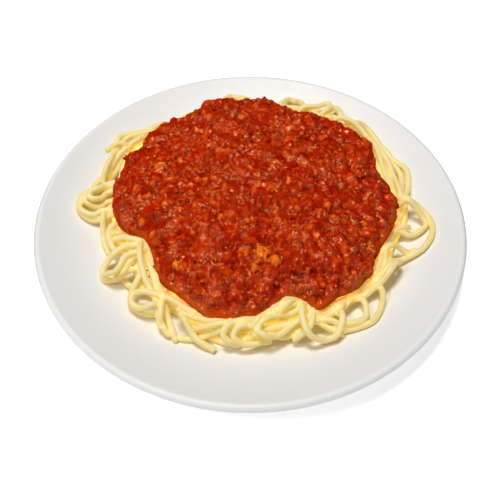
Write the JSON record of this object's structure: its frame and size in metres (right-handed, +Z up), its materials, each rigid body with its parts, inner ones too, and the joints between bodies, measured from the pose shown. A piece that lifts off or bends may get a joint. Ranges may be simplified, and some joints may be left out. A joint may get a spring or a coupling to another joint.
{
  "type": "spaghetti bolognese on a plate",
  "caption": "Shallow white coupe plate with a loose nest of spaghetti, its loops lying out over the plate, under a broad folded mound of minced meat sauce.",
  "frame": {"origin": "on the table, under the centre of the plate", "axes": "+Z up; -Y towards the eater, the side on which the noodle with the cut end lies"},
  "size_m": [0.23, 0.23, 0.0418],
  "materials": {
    "plate": "smooth white glaze",
    "spaghetti": "moist, pale yellow, slightly see-through",
    "meat_sauce": "wet and oily, red-brown with paler lumps of mince"
  },
  "bodies": {
    "root": {"plate": "plate", "spaghetti": "spaghetti", "meat_sauce": "meat_sauce"}
  },
  "joints": []
}
